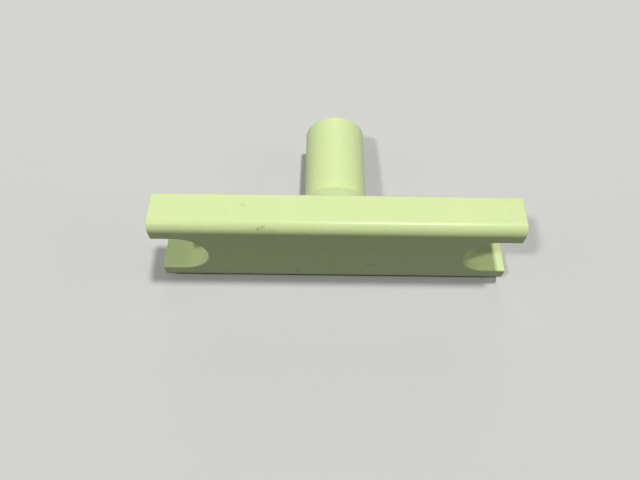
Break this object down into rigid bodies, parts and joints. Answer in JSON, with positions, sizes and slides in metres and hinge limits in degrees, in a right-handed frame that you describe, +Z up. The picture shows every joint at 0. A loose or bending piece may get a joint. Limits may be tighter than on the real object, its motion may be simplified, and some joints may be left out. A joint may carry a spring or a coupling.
{
  "type": "control handle",
  "caption": "T-shaped control handle moulded in pale green plastic: a flat bar, open at each end with a round-ended notch, and a round stem at its back.",
  "frame": {"origin": "On the surface that the handle rests on, midway along the bar and midway between the handle's front and back limits.", "axes": "+X runs along the bar, to the right as seen from the front. +Y points back, the way the stem does. +Z is up. The handle leans back about 9 degrees, as it rests on the bar's lower rear edge and the stem's end."},
  "size_m": [0.1, 0.0462, 0.0288],
  "materials": {
    "plastic": "satin"
  },
  "bodies": {
    "root": {"handle": "plastic"}
  },
  "joints": []
}
